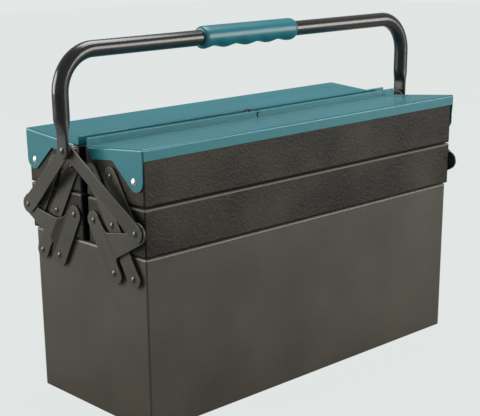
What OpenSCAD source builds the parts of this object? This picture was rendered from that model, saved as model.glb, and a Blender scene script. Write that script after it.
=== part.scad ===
// Cantilever tool box: a deep base, four fan-out trays in two tiers, two hinged lids
// and a carrying handle hung from the lift linkage at each end.
// +X runs along the box, -Y is the front, +Z is up. The origin is the middle of the
// base's underside. Everything is drawn shut, with the handle upright.

/* [Box] */
// Length of the trays over their end walls
tray_len = 491; // [400:1:600]
// Distance from the centre plane to a tray's outer wall
tray_reach = 98.5; // [90:0.5:120]
// Clear gap between the front and back trays
centre_gap = 9.5; // [8:0.5:10]
// Height of the base, from its underside to its rim
base_h = 188; // [170:1:230]
// Height of one tray
tray_h = 50; // [48:0.5:51]
// Gap between the tiers when the box is shut
seam = 1.2; // [0.8:0.1:2]
// How far the trays overhang the base at each end
overhang_x = 2; // [1:0.25:2.5]
// How far the trays overhang the base at the front and back
overhang_y = 2.5; // [1:0.25:4]
// Thickness of the folded steel sheet
sheet = 1; // [0.8:0.1:1.2]
// Radius of the upright corners and of the bottom folds
fold_r = 2.2; // [1.5:0.1:4]
// Radius of the rolled rim
rim_r = 2.2; // [1.3:0.1:2.5]
// Width of the rim, which is folded inwards
rim_w = 5.5; // [4:0.5:8]
// Thickness of the folded rim
rim_t = 2; // [1.4:0.1:2.4]

/* [Dividers] */
// Number of dividers in each upper tray
upper_dividers = 2; // [1:1:4]
// Number of dividers in each lower tray
lower_dividers = 1; // [1:1:3]
// Height of the dividers
divider_h = 36; // [25:1:42]
// Width of a divider's foot
divider_foot = 10; // [8:1:16]

/* [Lids] */
// Depth of the lid's front skirt
skirt_h = 12; // [9:0.5:16]
// Fall of the lid's top from its outer edge to its upstand
lid_fall = 7.5; // [4:0.5:9]
// Height of the upstand along the lid's inner edge
upstand_h = 8.2; // [6:0.1:12]
// Distance from the centre plane to the upstand
upstand_y = 9.6; // [9:0.1:11]
// Thickness of the hemmed upstand
hem_t = 2.2; // [2:0.1:2.8]
// Play between the lid's skirt and the tray
lid_play_y = 0.5; // [0.4:0.1:0.8]
// Play between the lid's end flange and the tray
lid_play_x = 1; // [0.8:0.1:1.2]
// Clearance between the shut lid and the tray's rim
lid_seat = 0.6; // [0.4:0.1:1]
// Depth of the lid's end flange
flange_h = 12; // [9:0.5:14]
// Distance of the lid's pivot inside the tray's outer wall
lid_pivot_in = 13; // [12:0.5:14]
// Height of the lid's pivot below the upper tray's rim
lid_pivot_drop = 25; // [23:0.5:27]
// Radius of the round end of the lid's pivot tab
tab_r = 11; // [9:0.5:11.5]
// Distance of the keyhole from the middle of the box
keyhole_x = -2.4; // [-20:0.2:20]
// Radius of the keyhole through the upstand
keyhole_r = 2.2; // [1.5:0.1:2.6]
// Width of the keyhole's slot
keyhole_slot = 1.8; // [1.2:0.1:2.4]

/* [Linkage] */
// Sideways step of a lift link between two pivots
link_step = 31.5; // [29:0.5:32]
// Height between two pivots of a lift link
link_rise = 50.5; // [50:0.5:52]
// Height of the base pivots below the base's rim
base_pivot_drop = 22.5; // [21:0.5:24]
// Distance from the centre plane to the innermost pivot
inner_pivot_y = 17; // [16:0.5:20]
// Half width of the lift links and stays
link_r = 9.5; // [8:0.5:9.5]
// Thickness of the link strip
link_t = 2; // [1.6:0.1:2]
// Radius of the bracket's upper round end
bracket_top_r = 10; // [8:0.5:10]
// Radius of the bracket's lower round end
bracket_foot_r = 12; // [10:0.5:12]
// Radius of the bracket's outer round end
bracket_tip_r = 11.5; // [10:0.5:12]
// Outward step in the bracket, where it passes over the lift links
joggle = 4.3; // [4:0.1:4.6]
// Distance of the handle link's lower pivot inside the tray's outer wall
tip_in = 5; // [3:0.5:7]
// Height of that pivot above the lower tray pivots
tip_rise = 0.3; // [-1:0.1:2]

/* [Handle] */
// Height of the handle's pivot when the box is shut
handle_pivot_z = 289; // [286:0.5:292]
// Diameter of the handle tube
tube_d = 17; // [15:0.5:18]
// Distance from the trays' end wall to the middle of each upright
upright_out = 23.5; // [22.5:0.5:28]
// Height of the crossbar's middle above the handle's pivot
crossbar_rise = 98.5; // [90:0.5:130]
// Bend radius of the tube, at its middle
bend_r = 42; // [30:1:60]
// Thickness of the flattened tube ends
flat_t = 4.2; // [3.5:0.1:4.6]
// Width of the flattened tube ends
flat_w = 17.5; // [16:0.5:22]
// Length of the flattened part above the pivot
flat_len = 17; // [14:1:24]
// Length of the crushed part between the flat and the round tube
crush_len = 15; // [10:1:24]
// Half width of the handle links at their upper end
handle_link_top_r = 7; // [6:0.5:8]
// Half width of the handle links at their lower end
handle_link_foot_r = 9.5; // [8:0.5:10]
// Diameter of the grip
grip_d = 25; // [23:0.5:30]
// Length of the grip
grip_len = 144; // [120:1:160]
// Distance of the grip's middle from the middle of the crossbar
grip_shift = -9; // [-20:1:20]
// Depth of the finger grooves under the grip
groove_depth = 2.4; // [1:0.1:3]

/* [Rivets] */
// Radius of a pivot rivet's shank
rivet_r = 1.9; // [1.6:0.05:1.9]
// Radius of the shank of a handle pivot
pivot_r = 2.6; // [2.2:0.1:3]
// Radius of a painted rivet's head
head_r = 3.7; // [3.4:0.1:4.8]
// Radius of the head of a lid's bright rivet
lid_head_r = 4.4; // [4:0.1:4.8]
// Height of a pivot rivet's domed head
head_h = 1.5; // [1:0.1:1.6]
// Clearance round a shank in its hole
bore_play = 0.05; // [0.02:0.01:0.1]

/* [Hidden] */
$fn = 64;

// Colours
teal = [0.18, 0.50, 0.54];
dark = [0.20, 0.20, 0.18];
bright = [0.75, 0.76, 0.76];

// Tray tiers
tray_x = tray_len / 2;
tray_in = centre_gap / 2;
lower_z = base_h + seam;
upper_z = lower_z + tray_h + seam;
upper_top = upper_z + tray_h;
base_x = tray_x - overhang_x;
base_y = tray_reach - overhang_y;
upright_x = tray_x + upright_out;

// Lids
lid_x = tray_x + lid_play_x + sheet;
lid_y = tray_reach + lid_play_y + sheet;
lid_in_z = upper_top + lid_seat + sheet;
lid_top_z = lid_in_z + lid_fall;
lid_slope = atan(lid_fall / (lid_y - upstand_y));
lid_pivot_y = tray_reach - lid_pivot_in;
lid_pivot_z = upper_top - lid_pivot_drop;
upstand_end = 3;
flange_relief = 2.4;
flange_splay = 6.2;
corner_slit = 0.6;
corner_r = 1.2;

// Pivot rows and columns, on the +Y side
row = [for (i = [0:2]) base_h - base_pivot_drop + i * link_rise];
col = [for (i = [0:2]) inner_pivot_y + i * link_step];
link_len = norm([link_step, link_rise]);
lean = atan(link_step / link_rise);
tip_y = tray_reach - tip_in;
tip_z = row[1] + tip_rise;

// Layers along X at each end, from the tray's end wall outwards
layer_gap = 0.5;
link_x = tray_x + layer_gap;
tip_x = link_x + joggle;
handle_link_x = tip_x + link_t + 0.4;
flat_in_x = upright_x - flat_t / 2;
front_top_x = flat_in_x - 0.4 - link_t - 0.4 - link_t;
back_top_x = flat_in_x - 0.4 - link_t;
head_play = 0.2;
tail_t = 0.8;
tail_r = head_r - 0.4;
collar_r = head_r + 1.2;
bore_r = rivet_r + bore_play;
pivot_bore_r = pivot_r + bore_play;
nick = 0.03;

// ---- shared shapes ----

module front() { mirror([0, 1, 0]) children(); }
module left() { mirror([1, 0, 0]) children(); }
module both_ends() { children(); left() children(); }

// A filled rectangle with round corners: r_lo at the bottom, r_hi at the top
module soft_rect(x0, x1, y0, y1, r_lo, r_hi) {
    translate([x0, y0 + r_lo]) square([x1 - x0, y1 - y0 - r_lo - r_hi]);
    translate([x0 + r_lo, y0]) square([x1 - x0 - 2 * r_lo, r_lo]);
    translate([x0 + r_hi, y1 - r_hi]) square([x1 - x0 - 2 * r_hi, r_hi]);
    for (x = [x0 + r_lo, x1 - r_lo]) translate([x, y0 + r_lo]) circle(r_lo);
    for (x = [x0 + r_hi, x1 - r_hi]) translate([x, y1 - r_hi]) circle(r_hi);
}

// A closed pan: round upright corners, bottom folds and top edges
module pan(xh, y0, y1, z0, z1, r_up, r_lo, r_hi) {
    intersection() {
        translate([0, 0, z0]) linear_extrude(z1 - z0) soft_rect(-xh, xh, y0, y1, r_up, r_up);
        translate([0, y1 + 1, 0]) rotate([90, 0, 0]) linear_extrude(y1 - y0 + 2)
            soft_rect(-xh, xh, z0, z1, r_lo, r_hi);
        translate([-xh - 1, 0, 0]) rotate([90, 0, 90]) linear_extrude(2 * xh + 2)
            soft_rect(y0, y1, z0, z1, r_lo, r_hi);
    }
}

// An open box of folded sheet whose rim is folded inwards
module folded_box(xh, y0, y1, z0, z1) {
    inner_r = fold_r - sheet;
    difference() {
        pan(xh, y0, y1, z0, z1, fold_r, fold_r, rim_r);
        pan(xh - sheet, y0 + sheet, y1 - sheet, z0 + sheet, z1 - rim_t, inner_r, inner_r, inner_r);
        translate([0, 0, z1 - rim_t - fold_r]) linear_extrude(rim_t + fold_r + 1)
            soft_rect(-xh + rim_w, xh - rim_w, y0 + rim_w, y1 - rim_w, inner_r, inner_r);
    }
}

// A hole along X at [y, z], through the end wall at +X
module bore(p, x0, x1, r = bore_r) {
    translate([x0, p[0], p[1]]) rotate([0, 90, 0]) cylinder(r = r, h = x1 - x0);
}

// A pin along +X at [y, z]
module pin(p, r, x0, x1) {
    translate([x0, p[0], p[1]]) rotate([0, 90, 0]) cylinder(r = r, h = x1 - x0);
}

// The domed head of a rivet, whose flat side stands on x0
module dome(p, x0, r = head_r) {
    dome_r = (r * r + head_h * head_h) / (2 * head_h);
    intersection() {
        pin(p, r, x0, x0 + head_h + 1);
        translate([x0 + head_h - dome_r, p[0], p[1]]) rotate([0, 90, 0]) sphere(dome_r);
    }
}

// A rivet along +X: a flat tail up to x_tail, a shank, and a domed head that stands on x_seat
module rivet(p, x_tail, x_seat, r = head_r) {
    pin(p, tail_r, x_tail - tail_t, x_tail);
    pin(p, rivet_r, x_tail - tail_t / 2, x_seat + head_h / 2);
    dome(p, x_seat, r);
}

// A strip along +x from the origin, with round ends of radius ra and rb at distance d
module strip(d, ra, rb) {
    k = asin((ra - rb) / d);
    circle(ra);
    translate([d, 0]) circle(rb);
    if (ra == rb) translate([0, -ra]) square([d, 2 * ra]);
    else polygon([for (e = [[0, ra, -1], [d, rb, -1], [d, rb, 1], [0, ra, 1]])
        [e[0] + (e[1] - nick) * sin(k), e[2] * (e[1] - nick) * cos(k)]]);
}

// The same strip between two points
function turn(a, b) = atan2(b[1] - a[1], b[0] - a[0]);
module strip_between(a, b, ra, rb) {
    translate(a) rotate(turn(a, b)) strip(norm(b - a), ra, rb);
}

// Stands a drawing made in (y, z) upright, from x0 to x1
module plate(x0, x1) {
    translate([x0, 0, 0]) rotate([90, 0, 90]) linear_extrude(x1 - x0) children();
}

// ---- base and trays ----

base_pivots = [[col[1], row[0]], [col[2], row[0]]];
lower_pivots = [for (i = [0:2]) [col[i], row[1]]];
upper_pivots = [[col[0], row[2]], [col[1], row[2]]];
lid_pivot = [lid_pivot_y, lid_pivot_z];

module base_box() {
    color(dark) difference() {
        folded_box(base_x, -base_y, base_y, 0, base_h);
        both_ends() for (p = base_pivots, s = [-1, 1])
            bore([s * p[0], p[1]], base_x - 2 * sheet, base_x + 1);
    }
}

// The base rivets have a collar that brings the links out to the trays' end walls
module base_rivets() {
    color(dark) both_ends() for (p = base_pivots, s = [-1, 1]) {
        rivet([s * p[0], p[1]], base_x - sheet, link_x + link_t + head_play);
        pin([s * p[0], p[1]], collar_r, base_x, link_x - head_play);
    }
}

module tray(z0, pivots) {
    color(dark) difference() {
        folded_box(tray_x, tray_in, tray_reach, z0, z0 + tray_h);
        both_ends() for (p = pivots) bore(p, tray_x - 2 * sheet, tray_x + 1);
    }
}
module lower_tray() { tray(lower_z, lower_pivots); }
module upper_tray() { tray(upper_z, concat(upper_pivots, [lid_pivot])); }

module tray_rivets(pivots) {
    color(dark) both_ends() for (p = pivots)
        rivet(p, tray_x - sheet, link_x + link_t + head_play);
}

// Dividers that stand across a tray on a folded foot
module dividers(z0, count) {
    pitch = 2 * (tray_x - sheet) / (count + 1);
    y0 = tray_in + sheet + 0.3;
    y1 = tray_reach - sheet - 0.3;
    floor_z = z0 + sheet;
    side_r = fold_r - sheet;
    color(dark) for (i = [1:count]) translate([i * pitch - tray_x + sheet, 0, 0]) {
        translate([-sheet / 2, 0, floor_z]) rotate([90, 0, 90]) linear_extrude(sheet)
            soft_rect(y0, y1, 0, divider_h, side_r, 4);
        translate([-sheet / 2, y0 + side_r, floor_z])
            cube([divider_foot, y1 - y0 - 2 * side_r, sheet]);
    }
}

// ---- lids ----

function lid_z(y) = lid_in_z + (y - upstand_y) * tan(lid_slope);

// The lid's cross section in (y, z), filled down to z_low, set in by the sheet for its hollow
module lid_section(inset, z_low) {
    r = fold_r - inset;
    y1 = lid_y - inset;
    y_r = y1 - r;
    y0 = upstand_y - hem_t - 2 * inset;
    z_r = lid_z(y_r) - (inset + r) / cos(lid_slope);
    translate([y_r, z_r]) circle(r);
    polygon([[y0, z_low], [y1, z_low], [y1, z_r], [y_r, z_r],
        [y_r - r * sin(lid_slope), z_r + r * cos(lid_slope)],
        [upstand_y, lid_in_z - inset / cos(lid_slope)], [y0, lid_in_z - inset / cos(lid_slope)]]);
}

// The lid's outer shape, or its hollow, with the folds along both ends rounded
module lid_block(inset, z_low) {
    r = fold_r - inset;
    run = 20;
    intersection() {
        plate(-lid_x, lid_x) lid_section(inset, z_low);
        translate([0, lid_y + run, lid_z(lid_y + run) - inset]) rotate([90 + lid_slope, 0, 0])
            linear_extrude(lid_y + 2 * run) soft_rect(-lid_x + inset, lid_x - inset, -80, 0, r, r);
        linear_extrude(lid_top_z + 20)
            soft_rect(-lid_x + inset, lid_x - inset, -lid_y, lid_y - inset, corner_r, corner_r);
    }
}

// Outline of the end flange with its pivot tab; it runs up past the top sheet
module flange_outline() {
    edge_z = lid_in_z - flange_h;
    neck = [lid_pivot_y - 3 * tab_r, edge_z + 3];
    lobe = [lid_y - tab_r - 1.2, lid_pivot_z + 1.5];
    side = turn(lobe, neck) + acos((tab_r - nick) / norm(lobe - neck));
    y0 = upstand_y + flange_relief;
    translate(lobe) circle(tab_r);
    polygon([[y0, lid_z(y0) - fold_r], [y0 + flange_splay, edge_z], neck,
        lobe + (tab_r - nick) * [cos(side), sin(side)], lobe,
        lobe + [tab_r - nick, 0], [lid_y - 1.2, lobe[1] + tab_r],
        [lid_y, lid_z(lid_y) - skirt_h + 2], [lid_y + 1, lid_z(lid_y) + 2], [y0, lid_in_z + 2]]);
}

module upstand_section() {
    top_z = lid_in_z + upstand_h - hem_t / 2;
    translate([upstand_y - hem_t, lid_in_z - sheet / 2]) square([hem_t, top_z - lid_in_z + sheet / 2]);
    translate([upstand_y - hem_t / 2, top_z]) circle(hem_t / 2);
}

module lid() {
    low_z = lid_pivot_z - 2 * tab_r;
    skirt_z = lid_z(lid_y) - skirt_h;
    color(teal) difference() {
        union() {
            difference() {
                lid_block(0, low_z);
                lid_block(sheet, low_z - 1);
            }
            plate(-lid_x + upstand_end, lid_x - upstand_end) upstand_section();
        }
        translate([-lid_x + sheet, lid_y - 2 * sheet, low_z - 1])
            cube([2 * (lid_x - sheet), 3 * sheet, skirt_z - low_z + 1]);
        both_ends() {
            plate(lid_x - sheet - corner_slit, lid_x + 1) difference() {
                translate([0, low_z - 1]) square([lid_y + 1, lid_top_z - low_z + 1]);
                flange_outline();
            }
            bore(lid_pivot, tray_x, lid_x + 1);
            translate([lid_x - sheet - corner_slit, lid_y - 2 * sheet, skirt_z - 1])
                cube([corner_slit, 3 * sheet, skirt_h - fold_r + 0.5]);
        }
        keyhole();
    }
}

// The keyhole passes through both upstands, one behind the other
module keyhole() {
    hole_z = lid_in_z + 4.4;
    translate([keyhole_x, upstand_y + 1, hole_z]) rotate([90, 0, 0])
        cylinder(r = keyhole_r, h = hem_t + 2);
    translate([keyhole_x - keyhole_slot / 2, upstand_y - hem_t - 1, lid_in_z + 0.6])
        cube([keyhole_slot, hem_t + 2, hole_z - lid_in_z - 0.6]);
}

module lid_rivets() {
    color(bright) both_ends() rivet(lid_pivot, tray_x - sheet, lid_x + head_play, lid_head_r);
}

// ---- linkage ----

module lift_link() {
    color(dark) difference() {
        plate(link_x, link_x + link_t) strip_between([col[2], row[0]], [col[0], row[2]], link_r, link_r);
        for (i = [0:2]) bore([col[2 - i], row[i]], link_x - 1, link_x + link_t + 1);
    }
}

module stay() {
    color(dark) difference() {
        plate(link_x, link_x + link_t) strip_between([col[2], row[1]], [col[1], row[2]], link_r, link_r);
        for (i = [1:2]) bore([col[3 - i], row[i]], link_x - 1, link_x + link_t + 1);
    }
}

// The bracket is drawn in its own frame: +y along the arm from its foot, +x outwards
tip = [(tip_y - col[1]) * cos(lean) + (tip_z - row[0]) * sin(lean),
    (tip_z - row[0]) * cos(lean) - (tip_y - col[1]) * sin(lean)];
wing_low = 12;
wing_high = 46.5;
notch_r = 20;
eye_r = 6;
throat_r = 8;
function arm_edge(v) = bracket_foot_r + (bracket_top_r - bracket_foot_r) * v / link_len;
top_fall = atan((wing_high - tip[1]) / tip[0]);
low_fall = atan((wing_low - tip[1] + bracket_tip_r) / tip[0]);

// A fillet's patch: the polygon less a circle at its point c
module fillet(points, c, r) {
    difference() {
        polygon(points);
        translate(c) circle(r);
    }
}

module bracket_outline() {
    notch_u = arm_edge(wing_high) + notch_r - 2 * nick;
    notch = [notch_u, wing_high - notch_u * tan(top_fall) + (notch_r - 2 * nick) / cos(top_fall)];
    notch_end = notch - notch_r * [sin(top_fall), cos(top_fall)];
    eye_foot = tip + sqrt(pow(bracket_tip_r + eye_r, 2) - eye_r * eye_r) * [-cos(top_fall), sin(top_fall)];
    eye = eye_foot + (eye_r - 2 * nick) * [sin(top_fall), cos(top_fall)];
    throat_u = arm_edge(0) + throat_r - 2 * nick;
    throat = [throat_u, wing_low - throat_u * tan(low_fall) - throat_r + 2 * nick];
    throat_end = throat + throat_r * [sin(low_fall), cos(low_fall)];
    rotate(90) strip(link_len, bracket_foot_r, bracket_top_r);
    translate(tip) circle(bracket_tip_r);
    polygon([[0, wing_low], [tip[0], tip[1] - bracket_tip_r + nick], tip, [0, wing_high]]);
    fillet([[0, wing_low], [notch_end[0], wing_low], notch_end, notch, [0, notch[1]]], notch, notch_r);
    fillet([tip, eye, eye_foot - [0, 2]], eye, eye_r);
    fillet([[0, throat[1]], throat, throat_end, [throat_end[0], wing_high / 2], [0, wing_high / 2]],
        throat, throat_r);
}

// The stepped strip that the bracket is pressed from: x across the arm, y outwards
bend_start = 9.5;
bend_run = 9;
module joggled_section(t) {
    polygon([[-40, 0], [bend_start, 0], [bend_start + bend_run, joggle], [100, joggle],
        [100, joggle + t], [bend_start + bend_run - 0.3 * t, joggle + t], [bend_start - 0.3 * t, t], [-40, t]]);
}

module bracket() {
    color(dark) difference() {
        translate([link_x, col[1], row[0]]) rotate([lean, 0, 0]) intersection() {
            plate(-1, joggle + link_t + 1) bracket_outline();
            translate([0, 0, -30]) rotate([0, 0, 90]) mirror([0, 1, 0]) linear_extrude(130)
                joggled_section(link_t);
        }
        for (i = [0:1]) bore([col[1 - i], row[i]], link_x - 1, link_x + link_t + 1);
        bore([tip_y, tip_z], tip_x - 1, tip_x + link_t + 1);
    }
}

// The inner half of the rivet at the bracket's tip; its shank stops flush with the bracket
module bracket_studs() {
    p = [tip_y, tip_z];
    color(dark) both_ends() {
        pin(p, tail_r, tip_x - head_play - tail_t, tip_x - head_play);
        pin(p, rivet_r, tip_x - head_play - tail_t / 2, tip_x + link_t);
    }
}

// ---- handle links and handle ----

handle_foot = [tip_y, tip_z];
handle_top = [0, handle_pivot_z];
strut = norm(handle_foot - handle_top);

// A strip that runs flat round each pivot and slants outwards between them
module slanted_section(rise_x) {
    flat_foot = 13;
    flat_top = 12;
    t = link_t;
    polygon([[-20, 0], [flat_foot, 0], [strut - flat_top, rise_x], [strut + 20, rise_x],
        [strut + 20, rise_x + t], [strut - flat_top, rise_x + t], [flat_foot, t], [-20, t]]);
}

module handle_link(top_x) {
    tilt = turn(handle_foot, handle_top);
    color(dark) difference() {
        translate([handle_link_x, handle_foot[0], handle_foot[1]]) rotate([tilt, 0, 0]) intersection() {
            plate(-1, top_x - handle_link_x + link_t + 1)
                strip(strut, handle_link_foot_r, handle_link_top_r);
            translate([0, 0, -20]) rotate([0, 0, 90]) mirror([0, 1, 0]) linear_extrude(40)
                slanted_section(top_x - handle_link_x);
        }
        bore(handle_foot, handle_link_x - 1, handle_link_x + link_t + 1);
        bore(handle_top, top_x - 1, top_x + link_t + 1, pivot_bore_r);
    }
}

// The outer half of the rivet at the handle link's foot
module handle_link_rivets() {
    seat = handle_link_x + link_t + 0.1;
    color(dark) both_ends() {
        pin(handle_foot, rivet_r, handle_link_x, seat + head_h / 2);
        dome(handle_foot, seat);
    }
}

// Each handle pivot is one long rivet through the flat tube end and both handle links
pivot_tail = 7;
pivot_head_r = 4.4;
pivot_tail_r = 3.8;
module handle_pivots() {
    seat = flat_in_x + flat_t + 0.1;
    tail_x = front_top_x - head_play;
    color(dark) both_ends() {
        pin(handle_top, pivot_tail_r, tail_x - pivot_tail, tail_x);
        pin(handle_top, pivot_r, tail_x - 1, seat + head_h / 2);
        dome(handle_top, seat, pivot_head_r);
    }
}

crossbar_z = handle_pivot_z + crossbar_rise;
module handle_tube() {
    tube_r = tube_d / 2;
    flat_top_z = handle_pivot_z + flat_len;
    round_z = flat_top_z + crush_len;
    color(dark) difference() {
        union() {
            translate([-upright_x + bend_r, 0, crossbar_z]) rotate([0, 90, 0])
                cylinder(r = tube_r, h = 2 * (upright_x - bend_r));
            both_ends() {
                translate([upright_x - bend_r, 0, crossbar_z - bend_r]) rotate([90, 0, 0])
                    rotate_extrude(angle = 90) translate([bend_r, 0]) circle(tube_r);
                translate([upright_x, 0, round_z]) cylinder(r = tube_r, h = crossbar_z - bend_r - round_z);
                hull() {
                    translate([upright_x, 0, round_z - 0.01]) cylinder(r = tube_r, h = 0.01, $fn = 32);
                    translate([flat_in_x, -flat_w / 2, flat_top_z]) cube([flat_t, flat_w, 0.01]);
                }
                plate(flat_in_x, flat_in_x + flat_t) {
                    translate([0, handle_pivot_z]) circle(flat_w / 2);
                    translate([-flat_w / 2, handle_pivot_z]) square([flat_w, flat_len]);
                }
            }
        }
        both_ends() bore(handle_top, flat_in_x - 1, flat_in_x + flat_t + 1, pivot_bore_r);
    }
}

// The grip: straight above, four finger grooves below, dished end faces
grooves = 4;
grip_sides = 24;
grip_steps = 44;
end_round = 5;
groove_start = 2;
groove_stop = 8;
function grip_end(s) = let (e = min(s, grip_len - s)) e >= end_round ? 1
    : 1 - 0.32 * pow(1 - e / end_round, 2);
function finger(s) = let (w = grip_len - groove_start - groove_stop)
    (s < groove_start || s > grip_len - groove_stop) ? 0
    : (1 - cos(360 * grooves * (s - groove_start) / w)) / 2;
function grip_point(s, a) = let (r = grip_d / 2 * grip_end(s), low = max(0, -sin(a)))
    [s - grip_len / 2, r * cos(a), r * sin(a) + groove_depth * finger(s) * low];

module handle_grip() {
    ring = grip_sides;
    points = [for (i = [0:grip_steps], j = [0:ring - 1])
        grip_point(grip_len * i / grip_steps, 360 * j / ring)];
    sides = [for (i = [0:grip_steps - 1], j = [0:ring - 1])
        let (k = (j + 1) % ring) each [[i * ring + j, (i + 1) * ring + k, i * ring + k],
            [i * ring + j, (i + 1) * ring + j, (i + 1) * ring + k]]];
    ends = [[for (j = [0:ring - 1]) j], [for (j = [0:ring - 1]) grip_steps * ring + ring - 1 - j]];
    color(teal) translate([grip_shift, 0, crossbar_z]) difference() {
        polyhedron(points, concat(sides, ends), convexity = 4);
        translate([-grip_len, 0, 0]) rotate([0, 90, 0]) cylinder(r = tube_d / 2 + 0.05, h = 2 * grip_len);
    }
}

// ---- what is drawn ----

base_box();
base_rivets();
front() left() bracket();  // bracket_front_left
front() bracket();  // bracket_front_right
left() bracket();  // bracket_back_left
bracket();  // bracket_back_right
front() bracket_studs();  // bracket_studs_front
bracket_studs();  // bracket_studs_back
front() left() lift_link();  // lift_link_front_left
front() lift_link();  // lift_link_front_right
left() lift_link();  // lift_link_back_left
lift_link();  // lift_link_back_right
front() left() stay();  // stay_front_left
front() stay();  // stay_front_right
left() stay();  // stay_back_left
stay();  // stay_back_right
front() lower_tray();  // lower_tray_front
lower_tray();  // lower_tray_back
front() tray_rivets(lower_pivots);  // lower_rivets_front
tray_rivets(lower_pivots);  // lower_rivets_back
front() dividers(lower_z, lower_dividers);  // lower_dividers_front
dividers(lower_z, lower_dividers);  // lower_dividers_back
front() upper_tray();  // upper_tray_front
upper_tray();  // upper_tray_back
front() tray_rivets(upper_pivots);  // upper_rivets_front
tray_rivets(upper_pivots);  // upper_rivets_back
front() dividers(upper_z, upper_dividers);  // upper_dividers_front
dividers(upper_z, upper_dividers);  // upper_dividers_back
front() lid();  // lid_front
lid();  // lid_back
front() lid_rivets();  // lid_rivets_front
lid_rivets();  // lid_rivets_back
front() left() handle_link(front_top_x);  // handle_link_front_left
front() handle_link(front_top_x);  // handle_link_front_right
left() handle_link(back_top_x);  // handle_link_back_left
handle_link(back_top_x);  // handle_link_back_right
front() handle_link_rivets();  // handle_link_rivets_front
handle_link_rivets();  // handle_link_rivets_back
handle_pivots();
handle_tube();
handle_grip();
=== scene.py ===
import math
import bmesh
import bpy
from mathutils import Matrix, Vector

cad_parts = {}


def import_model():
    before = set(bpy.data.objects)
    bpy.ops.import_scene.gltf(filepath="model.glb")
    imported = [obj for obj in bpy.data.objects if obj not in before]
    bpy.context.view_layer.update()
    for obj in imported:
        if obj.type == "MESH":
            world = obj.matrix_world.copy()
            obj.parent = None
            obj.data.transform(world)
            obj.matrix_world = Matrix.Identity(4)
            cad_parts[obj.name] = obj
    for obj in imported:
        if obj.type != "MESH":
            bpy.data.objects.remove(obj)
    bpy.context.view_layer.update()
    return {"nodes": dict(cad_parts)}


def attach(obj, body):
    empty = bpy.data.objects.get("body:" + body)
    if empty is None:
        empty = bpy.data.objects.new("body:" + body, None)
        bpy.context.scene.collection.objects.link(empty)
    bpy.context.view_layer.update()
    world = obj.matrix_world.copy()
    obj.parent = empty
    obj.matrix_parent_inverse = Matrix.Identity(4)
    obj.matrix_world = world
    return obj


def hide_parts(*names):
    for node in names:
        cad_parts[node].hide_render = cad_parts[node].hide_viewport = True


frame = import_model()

scene = bpy.context.scene
MM = 0.001

# ---------------------------------------------------------------- places on the shut box
# All in mm. A band is its lower end, its upper end and the soft run past each of them.
# Painted highlight: the lighter band along the base's top rim.
BASE_RIM_HIGHLIGHT = (186.4, 188.2, 0.5)
# Painted highlight: the lighter band along the lower tray's top rim.
LOWER_TRAY_RIM_HIGHLIGHT = (237.6, 239.3, 0.5)
# Painted shade: the dark bands at the feet of the trays, under the seams.
LOWER_TRAY_FOOT_SHADE = (189.0, 191.8, 0.6)
UPPER_TRAY_FOOT_SHADE = (240.2, 243.0, 0.6)
# Painted shade on the tray walls at the middle gap: full up to TRAY_GAP_WALL, gone at
# TRAY_GAP_CLEAR.
TRAY_GAP_WALL = 6.0
TRAY_GAP_CLEAR = 9.0
LID_HALF_LENGTH = 247.5
LID_OUTER_EDGE = 100
KEYHOLE_X = -2.4
# Painted shade: the keyhole's walls and the strip of the back upstand behind it.
KEYHOLE_WALLS = (7.5, 9.5, 0.05)
BEHIND_KEYHOLE = (5.0, 7.45, 0.04)


# ---------------------------------------------------------------- materials
def srgb(r, g, b):
    """Linear colour, with alpha, from sRGB values of 0 to 255."""
    lin = [(c / 255) / 12.92 if c <= 10 else ((c / 255 + 0.055) / 1.055) ** 2.4 for c in (r, g, b)]
    return (*lin, 1.0)


def node_group(name, outputs):
    """An empty shader group with a Vector input and the outputs that are named."""
    group = bpy.data.node_groups.new(name, "ShaderNodeTree")
    group.interface.new_socket("Vector", in_out="INPUT", socket_type="NodeSocketVector")
    for out in outputs:
        group.interface.new_socket(out, in_out="OUTPUT", socket_type="NodeSocketFloat")
    return group, group.nodes.new("NodeGroupInput"), group.nodes.new("NodeGroupOutput")


def noise(tree, vector, scale, detail, rough=0.5):
    texture = tree.nodes.new("ShaderNodeTexNoise")
    texture.inputs["Scale"].default_value = scale
    texture.inputs["Detail"].default_value = detail
    texture.inputs["Roughness"].default_value = rough
    tree.links.new(vector, texture.inputs["Vector"])
    return texture.outputs["Fac"]


def ramp(tree, value, lo, hi, out_lo, out_hi):
    """A value taken from the range lo to hi onto another range, and held at its ends."""
    node = tree.nodes.new("ShaderNodeMapRange")
    ends = (("From Min", lo), ("From Max", hi), ("To Min", out_lo), ("To Max", out_hi))
    for key, end in ends:
        node.inputs[key].default_value = end
    tree.links.new(value, node.inputs["Value"])
    return node.outputs["Result"]


def math_node(tree, op, a, b):
    """A Math node on two inputs, each a number or a socket."""
    node = tree.nodes.new("ShaderNodeMath")
    node.operation = op
    for i, value in enumerate((a, b)):
        if isinstance(value, (int, float)):
            node.inputs[i].default_value = value
        else:
            tree.links.new(value, node.inputs[i])
    return node.outputs["Value"]


def colour_mix(tree, first, second, mask):
    """The first colour where the mask is 0 and the second where it is 1."""
    mix = tree.nodes.new("ShaderNodeMix")
    mix.data_type = "RGBA"
    for key, colour in (("A", first), ("B", second)):
        if isinstance(colour, tuple):
            mix.inputs[key].default_value = colour
        else:
            tree.links.new(colour, mix.inputs[key])
    tree.links.new(mask, mix.inputs["Factor"])
    return mix.outputs["Result"]


def paint_relief():
    """Masks that all the paints share: orange peel, broad unevenness and fine grain."""
    group, given, made = node_group("Paint relief", ("Peel", "Broad", "Grain"))
    vector = given.outputs["Vector"]
    group.links.new(noise(group, vector, 380.0, 3.0, 0.6), made.inputs["Peel"])
    group.links.new(noise(group, vector, 9.0, 4.0, 0.55), made.inputs["Broad"])
    group.links.new(noise(group, vector, 700.0, 2.0), made.inputs["Grain"])
    return group


RELIEF = paint_relief()
BROAD_SHARE = 0.6
GRAIN_SHARE = 0.4
SPECKLE_REACH = 0.15
COAT_ROUGH = 0.08


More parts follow.
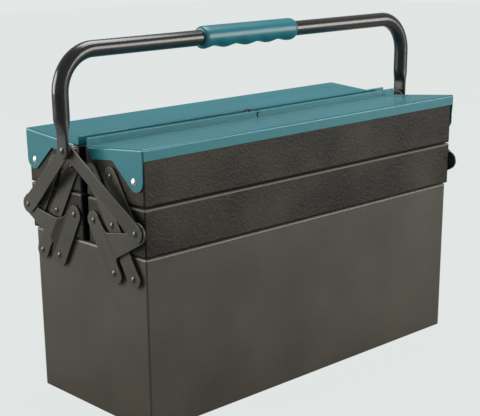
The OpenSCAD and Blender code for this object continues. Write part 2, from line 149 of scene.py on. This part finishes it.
def paint(name, base, dark, rough, rough_dev, bump, bump_mm, coat=0.0, metallic=0.0, spec=0.5,
          contrast=1.0):
    """A coat of paint with an orange peel, mottled between two colours and two degrees of gloss.

    The peel has the strength bump and the height bump_mm. A higher contrast parts the two
    colours more sharply.
    """
    material = bpy.data.materials.new(name)
    material.use_nodes = True
    tree = material.node_tree
    bsdf = tree.nodes["Principled BSDF"]
    coords = tree.nodes.new("ShaderNodeTexCoord")
    relief = tree.nodes.new("ShaderNodeGroup")
    relief.node_tree = RELIEF
    tree.links.new(coords.outputs["Object"], relief.inputs["Vector"])
    mottle = math_node(tree, "ADD",
                       math_node(tree, "MULTIPLY", relief.outputs["Broad"], BROAD_SHARE),
                       math_node(tree, "MULTIPLY", relief.outputs["Grain"], GRAIN_SHARE))
    reach = SPECKLE_REACH / contrast
    colour = colour_mix(tree, dark, base, ramp(tree, mottle, 0.5 - reach, 0.5 + reach, 0.0, 1.0))
    tree.links.new(colour, bsdf.inputs["Base Color"])
    gloss = ramp(tree, relief.outputs["Broad"], 0.3, 0.7, rough - rough_dev, rough + rough_dev)
    tree.links.new(gloss, bsdf.inputs["Roughness"])
    peel = tree.nodes.new("ShaderNodeBump")
    peel.inputs["Strength"].default_value = bump
    peel.inputs["Distance"].default_value = bump_mm * MM
    tree.links.new(relief.outputs["Peel"], peel.inputs["Height"])
    tree.links.new(peel.outputs["Normal"], bsdf.inputs["Normal"])
    bsdf.inputs["Coat Weight"].default_value = coat
    bsdf.inputs["Coat Roughness"].default_value = COAT_ROUGH
    bsdf.inputs["Metallic"].default_value = metallic
    bsdf.inputs["Specular IOR Level"].default_value = spec
    return material


def place(tree):
    """The X, Y and Z sockets of a point on the piece, in metres."""
    coords = tree.nodes.new("ShaderNodeTexCoord")
    split = tree.nodes.new("ShaderNodeSeparateXYZ")
    tree.links.new(coords.outputs["Object"], split.inputs["Vector"])
    return split.outputs["X"], split.outputs["Y"], split.outputs["Z"]


def band(tree, value, lo_mm, hi_mm, soft_mm):
    """1 between two positions and 0 outside them, with soft ends."""
    rise = ramp(tree, value, (lo_mm - soft_mm) * MM, lo_mm * MM, 0.0, 1.0)
    fall = ramp(tree, value, hi_mm * MM, (hi_mm + soft_mm) * MM, 1.0, 0.0)
    return math_node(tree, "MULTIPLY", rise, fall)


def overlay(material, colour, mask):
    """Lay another colour over a paint where mask(tree) is 1."""
    tree = material.node_tree
    bsdf = tree.nodes["Principled BSDF"]
    under = bsdf.inputs["Base Color"].links[0].from_socket
    tree.links.new(colour_mix(tree, under, colour, mask(tree)), bsdf.inputs["Base Color"])


def gap_shade_mask(tree):
    """Painted shade on the walls of the trays that face each other across the middle of the box.
    """
    side = math_node(tree, "ABSOLUTE", place(tree)[1], 0.0)
    return ramp(tree, side, TRAY_GAP_WALL * MM, TRAY_GAP_CLEAR * MM, 0.95, 0.0)


def height_mask(*bands):
    """A mask maker for one or more bands of height."""
    def mask(tree):
        height = place(tree)[2]
        total = 0.0
        for lo, hi, soft in bands:
            total = math_node(tree, "ADD", total, band(tree, height, lo, hi, soft))
        return total
    return mask


def keyhole_shade_mask(tree):
    """Painted shade: the walls of the keyhole, and the strip of the back upstand that shows
    through it.
    """
    x, y, _ = place(tree)
    across = math_node(tree, "ABSOLUTE", math_node(tree, "SUBTRACT", x, KEYHOLE_X * MM), 0.0)
    side = math_node(tree, "ABSOLUTE", y, 0.0)
    walls = math_node(tree, "MULTIPLY", ramp(tree, across, 2.4 * MM, 2.5 * MM, 1.0, 0.0),
                      band(tree, side, *KEYHOLE_WALLS))
    behind = math_node(tree, "MULTIPLY", ramp(tree, across, 5.0 * MM, 6.0 * MM, 1.0, 0.0),
                       band(tree, y, *BEHIND_KEYHOLE))
    return math_node(tree, "MAXIMUM", walls, behind)


def pressed_border(material, edge_mm, run_mm, depth_mm):
    """The step of a pressed border that runs round a lid's top, a little inside its edges."""
    tree = material.node_tree
    bsdf = tree.nodes["Principled BSDF"]
    x, y, _ = place(tree)
    from_side = math_node(tree, "SUBTRACT", LID_OUTER_EDGE * MM,
                          math_node(tree, "ABSOLUTE", y, 0.0))
    from_end = math_node(tree, "SUBTRACT", LID_HALF_LENGTH * MM,
                         math_node(tree, "ABSOLUTE", x, 0.0))
    inside = math_node(tree, "MINIMUM", from_side, from_end)
    step = tree.nodes.new("ShaderNodeBump")
    step.inputs["Distance"].default_value = depth_mm * MM
    tree.links.new(ramp(tree, inside, edge_mm * MM, (edge_mm + run_mm) * MM, 0.0, 1.0),
                   step.inputs["Height"])
    tree.links.new(bsdf.inputs["Normal"].links[0].from_socket, step.inputs["Normal"])
    tree.links.new(step.outputs["Normal"], bsdf.inputs["Normal"])


POWDER = paint("Powder coat", srgb(79, 74, 65), srgb(64, 60, 53),
               rough=0.38, rough_dev=0.04, bump=0.5, bump_mm=0.35, spec=0.42)
# The base's top rim is painted lighter: a painted highlight.
overlay(POWDER, srgb(118, 118, 108), height_mask(BASE_RIM_HIGHLIGHT))

POWDER_TRAY = paint("Tray powder coat", srgb(62, 57, 47), srgb(10, 9, 7),
                    rough=0.44, rough_dev=0.05, bump=1.0, bump_mm=0.7, spec=0.2, contrast=1.5)
# The lower tray's top rim is painted lighter: a painted highlight.
overlay(POWDER_TRAY, srgb(112, 112, 102), height_mask(LOWER_TRAY_RIM_HIGHLIGHT))
# The feet of both trays are painted near black: painted shade under the seams.
overlay(POWDER_TRAY, srgb(8, 8, 7), height_mask(LOWER_TRAY_FOOT_SHADE, UPPER_TRAY_FOOT_SHADE))
# The tray walls facing the middle gap are painted near black: painted shade.
overlay(POWDER_TRAY, srgb(9, 9, 8), gap_shade_mask)

INNER = paint("Inside of the trays", srgb(46, 45, 41), srgb(36, 35, 32),
              rough=0.5, rough_dev=0.05, bump=0.35, bump_mm=0.12)

POWDER_LINK = paint("Link powder coat", srgb(66, 63, 54), srgb(48, 46, 40),
                    rough=0.40, rough_dev=0.06, bump=0.5, bump_mm=0.3, spec=0.45)
# A lighter paint for the links' rounded edges: a painted highlight.
EDGE_HIGHLIGHT_PAINT = paint("Painted edge highlight", srgb(112, 112, 106), srgb(92, 92, 86),
                  rough=0.34, rough_dev=0.05, bump=0.2, bump_mm=0.1)
RIVET = paint("Rivet paint", srgb(58, 55, 48), srgb(44, 42, 37),
              rough=0.22, rough_dev=0.04, bump=0.2, bump_mm=0.1, coat=0.3)
ZINC = paint("Plated steel", srgb(205, 206, 205), srgb(188, 190, 190),
             rough=0.3, rough_dev=0.05, bump=0.05, bump_mm=0.03, metallic=1.0)

LID = paint("Lid enamel", srgb(14, 122, 134), srgb(10, 112, 124),
            rough=0.32, rough_dev=0.03, bump=0.08, bump_mm=0.05, coat=0.25, spec=0.4)
# The keyhole's walls and the strip behind it are painted almost black: painted shade.
overlay(LID, srgb(6, 16, 18), keyhole_shade_mask)
pressed_border(LID, edge_mm=20.0, run_mm=7.0, depth_mm=-1.6)

POWDER_TUBE = paint("Tube paint", srgb(34, 34, 31), srgb(26, 26, 24),
                    rough=0.24, rough_dev=0.04, bump=0.25, bump_mm=0.1, coat=0.4)
GRIP = paint("Grip plastic", srgb(32, 118, 130), srgb(26, 106, 118),
             rough=0.30, rough_dev=0.04, bump=0.1, bump_mm=0.05)

LINKAGE = ("bracket_front", "bracket_back", "lift_link", "stay", "handle_link_front",
           "handle_link_back")


def finish_of(name):
    """The paint of a CAD node, by its name."""
    if name.startswith("lid_rivets"):
        return ZINC
    if name.startswith("lid"):
        return LID
    if name == "handle_grip":
        return GRIP
    if name == "handle_tube":
        return POWDER_TUBE
    if "dividers" in name:
        return INNER
    if name.startswith(LINKAGE):
        return POWDER_LINK
    if "rivets" in name or "studs" in name or name == "handle_pivots":
        return RIVET
    if "tray" in name:
        return POWDER_TRAY
    return POWDER


def soften_edges(obj, width_mm):
    """Round the cut edges of a pressed piece, and give them the paint of its second slot, a
    lighter paint that is a painted highlight on the edges.
    """
    weld = obj.modifiers.new("Weld", "WELD")
    weld.merge_threshold = 0.002 * MM
    flat = obj.modifiers.new("Planar", "DECIMATE")
    flat.decimate_type = "DISSOLVE"
    flat.angle_limit = math.radians(0.5)
    bevel = obj.modifiers.new("Bevel", "BEVEL")
    bevel.width = width_mm * MM
    bevel.segments = 2
    bevel.limit_method = "ANGLE"
    bevel.angle_limit = math.radians(40)
    bevel.use_clamp_overlap = False
    bevel.material = 1
    shade = obj.modifiers.new("Shade", "WEIGHTED_NORMAL")
    shade.keep_sharp = False


for name, obj in frame["nodes"].items():
    obj.data.materials.clear()
    obj.data.materials.append(finish_of(name))
    if name.startswith(LINKAGE):
        obj.data.materials.append(EDGE_HIGHLIGHT_PAINT)
        soften_edges(obj, width_mm=0.45)


# ---------------------------------------------------------------- handle
# Heights and distances of the bent tube's middle line, and its half sizes, in metres.
PIVOT_Z = 289 * MM
CROSSBAR_Z = 387.5 * MM
UPRIGHT_X = 269 * MM
BEND_R = 42 * MM
TUBE_R = 8.5 * MM
FLAT_W = 8.75 * MM
FLAT_T = 2.1 * MM
TIP_W = 0.4 * MM
# Above its pivot the tube stays flat up to CRUSH_FROM and is round CRUSH_RUN higher.
CRUSH_FROM = 16 * MM
CRUSH_RUN = 18 * MM
BEND_STEPS = 16


def loft(name, rings, material):
    """A closed skin over rings of points, with its two ends filled."""
    bm = bmesh.new()
    loops = [[bm.verts.new(p) for p in ring] for ring in rings]
    for a, b in zip(loops, loops[1:]):
        for i in range(len(a)):
            j = (i + 1) % len(a)
            bm.faces.new((a[i], a[j], b[j], b[i]))
    bm.faces.new(loops[0][::-1])
    bm.faces.new(loops[-1])
    bmesh.ops.recalc_face_normals(bm, faces=bm.faces)
    mesh = bpy.data.meshes.new(name)
    bm.to_mesh(mesh)
    bm.free()
    for face in mesh.polygons:
        face.use_smooth = True
    mesh.materials.append(material)
    obj = bpy.data.objects.new(name, mesh)
    scene.collection.objects.link(obj)
    return obj


def ease(t):
    """0 to 1 with a soft start and end."""
    t = min(max(t, 0.0), 1.0)
    return t * t * (3 - 2 * t)


def tube_section(height):
    """Half thickness, half width and squareness of the tube at a height above its pivot."""
    crush = ease((height - CRUSH_FROM) / CRUSH_RUN)
    width = FLAT_W + (TUBE_R - FLAT_W) * crush
    if height < 0:
        width = math.sqrt(max(FLAT_W ** 2 - height ** 2, TIP_W ** 2))
    return FLAT_T + (TUBE_R - FLAT_T) * crush, width, 4.0 - 2.0 * crush


def tube_ring(centre, across, height, sides=40):
    """One ring of the tube; across is the direction of its thickness, in the handle's plane."""
    thick, wide, power = tube_section(height)
    ring = []
    for i in range(sides):
        a = 2 * math.pi * i / sides
        c, s = math.cos(a), math.sin(a)
        u = math.copysign(abs(c) ** (2 / power), c) * thick
        v = math.copysign(abs(s) ** (2 / power), s) * wide
        ring.append((centre[0] + across[0] * u, v, centre[1] + across[1] * u))
    return ring


def handle_tube():
    """The bent tube, with its ends pressed flat round the pivots."""
    half = []
    heights = [-8.74, -8.5, -8, -7, -5.5, -3.5, 0, 8, 15] + [16 + 1.5 * i for i in range(1, 13)]
    top = CROSSBAR_Z - PIVOT_Z - BEND_R
    for h in [v * MM for v in heights] + [top]:
        half.append(((UPRIGHT_X, PIVOT_Z + h), (1, 0), h))
    for i in range(1, BEND_STEPS + 1):
        a = math.pi / 2 * i / BEND_STEPS
        centre = (UPRIGHT_X - BEND_R + BEND_R * math.cos(a),
                  CROSSBAR_Z - BEND_R + BEND_R * math.sin(a))
        half.append((centre, (math.cos(a), math.sin(a)), top))
    right = [tube_ring(*station) for station in half]
    left = [[(-x, y, z) for x, y, z in ring] for ring in right]
    return loft("tube_skin", left + right[::-1], POWDER_TUBE)


def grip():
    """The moulded grip: rounded lips at its ends and four finger grooves below."""
    start, length, radius, sides = -81 * MM, 144 * MM, 12.5 * MM, 48
    lip_run, lip_drop = 6 * MM, 2.6 * MM
    groove_from, groove_to, depth, grooves = 2 * MM, 136 * MM, 2.5 * MM, 4
    lip = [0, 0.5, 1.2, 2.2, 3.4, 5, 7]
    steps = lip + [9 + 1.5 * i for i in range(85)] + [length / MM - s for s in lip]
    rings = []
    for s in sorted(steps):
        s *= MM
        edge = min(s, length - s) / lip_run
        r = radius - (0 if edge >= 1 else lip_drop * (1 - math.sqrt(1 - (1 - edge) ** 2)))
        t = (s - groove_from) / (groove_to - groove_from)
        dip = depth * (1 - math.cos(2 * math.pi * grooves * t)) / 2 if 0 < t < 1 else 0
        ring = []
        for i in range(sides):
            a = 2 * math.pi * i / sides
            low = max(0.0, -math.sin(a)) ** 1.2
            ring.append((start + s, r * math.cos(a), CROSSBAR_Z + r * math.sin(a) + dip * low))
        rings.append(ring)
    return loft("grip_skin", rings, GRIP)


tube_piece = handle_tube()
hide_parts("handle_tube")
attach(tube_piece, "handle")
grip_piece = grip()
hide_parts("handle_grip")
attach(grip_piece, "handle")

# ---------------------------------------------------------------- studio
BACKDROP = srgb(227, 232, 231)
FLOOR_GREY = srgb(150, 153, 152)
ROOM_LIGHT = (0.94, 0.97, 1.0, 1.0)
ROOM_STRENGTH = 0.30
# The share of the backdrop's colour in what the camera sees of the floor.
FLOOR_AS_BACKDROP = 0.97
FLOOR_SIDE = 12
BELOW_BOX = -0.0002


def world():
    """Soft light from all sides, and a plain pale backdrop for the camera."""
    studio = bpy.data.worlds.new("Studio")
    scene.world = studio
    studio.use_nodes = True
    tree = studio.node_tree
    tree.nodes.clear()
    out = tree.nodes.new("ShaderNodeOutputWorld")
    light = tree.nodes.new("ShaderNodeBackground")
    light.inputs["Color"].default_value = ROOM_LIGHT
    light.inputs["Strength"].default_value = ROOM_STRENGTH
    shown = tree.nodes.new("ShaderNodeBackground")
    shown.inputs["Color"].default_value = BACKDROP
    shown.inputs["Strength"].default_value = 1.0
    path = tree.nodes.new("ShaderNodeLightPath")
    mix = tree.nodes.new("ShaderNodeMixShader")
    tree.links.new(path.outputs["Is Camera Ray"], mix.inputs["Fac"])
    tree.links.new(light.outputs["Background"], mix.inputs[1])
    tree.links.new(shown.outputs["Background"], mix.inputs[2])
    tree.links.new(mix.outputs["Shader"], out.inputs["Surface"])


def floor():
    """A pale floor that runs into the backdrop and keeps a faint shadow of the box."""
    bpy.ops.mesh.primitive_plane_add(size=FLOOR_SIDE, location=(0, 0, BELOW_BOX))
    obj = bpy.context.object
    obj.name = "Floor"
    material = bpy.data.materials.new("Floor")
    material.use_nodes = True
    tree = material.node_tree
    bsdf = tree.nodes["Principled BSDF"]
    bsdf.inputs["Base Color"].default_value = FLOOR_GREY
    bsdf.inputs["Roughness"].default_value = 0.9
    shown = tree.nodes.new("ShaderNodeEmission")
    shown.inputs["Color"].default_value = BACKDROP
    path = tree.nodes.new("ShaderNodeLightPath")
    mix = tree.nodes.new("ShaderNodeMixShader")
    weight = math_node(tree, "MULTIPLY", path.outputs["Is Camera Ray"], FLOOR_AS_BACKDROP)
    tree.links.new(weight, mix.inputs["Fac"])
    tree.links.new(bsdf.outputs["BSDF"], mix.inputs[1])
    tree.links.new(shown.outputs["Emission"], mix.inputs[2])
    tree.links.new(mix.outputs["Shader"], tree.nodes["Material Output"].inputs["Surface"])
    obj.data.materials.append(material)


def softbox(name, location, target, width, height, power, colour=(1, 1, 1)):
    """A lit panel that faces its target."""
    data = bpy.data.lights.new(name, "AREA")
    data.energy = power
    data.color = colour
    data.shape = "RECTANGLE"
    data.size = width
    data.size_y = height
    obj = bpy.data.objects.new(name, data)
    scene.collection.objects.link(obj)
    obj.location = location
    obj.rotation_mode = "QUATERNION"
    obj.rotation_quaternion = (Vector(target) - Vector(location)).to_track_quat("-Z", "Y")


world()
floor()
softbox("Top softbox", (0.5, 0.1, 1.9), (0, 0, 0.25), 1.4, 1.0, power=26)
softbox("Right front softbox", (1.6, -2.0, 0.7), (0, 0, 0.15), 1.8, 1.2, power=44,
        colour=(1.0, 0.965, 0.90))
softbox("Left back softbox", (-1.9, 1.5, 0.8), (-0.2, 0, 0.15), 1.6, 1.3, power=46,
        colour=(1.0, 0.97, 0.91))

# ---------------------------------------------------------------- camera
IMAGE_WIDTH = 480
SENSOR_WIDTH = 36.0


def camera(f_px, azimuth, elevation, roll, centre_mm, shift_px):
    """The photo's camera: focal length and shift in pixels, angles in degrees, place in mm."""
    data = bpy.data.cameras.new("Camera")
    obj = bpy.data.objects.new("Camera", data)
    scene.collection.objects.link(obj)
    data.sensor_fit = "HORIZONTAL"
    data.sensor_width = SENSOR_WIDTH
    data.lens = f_px / IMAGE_WIDTH * SENSOR_WIDTH
    data.shift_x = -shift_px[0] / IMAGE_WIDTH
    data.shift_y = shift_px[1] / IMAGE_WIDTH
    a, e, t = (math.radians(v) for v in (azimuth, elevation, roll))
    look = Vector((math.sin(a) * math.cos(e), math.cos(a) * math.cos(e), -math.sin(e)))
    right = Vector((math.cos(a), -math.sin(a), 0))
    up = right.cross(look)
    rolled_right = math.cos(t) * right + math.sin(t) * up
    rolled_up = -math.sin(t) * right + math.cos(t) * up
    turn = Matrix((rolled_right, rolled_up, -look)).transposed().to_4x4()
    obj.matrix_world = Matrix.Translation(Vector(centre_mm) * MM) @ turn
    data.clip_start = 0.05
    data.clip_end = 50
    scene.camera = obj


camera(1105.8, 40.55, 16.71, -1.40, (-900.5, -913.7, 492.0), (-60.8, 62.2))
scene.view_settings.view_transform = "Standard"
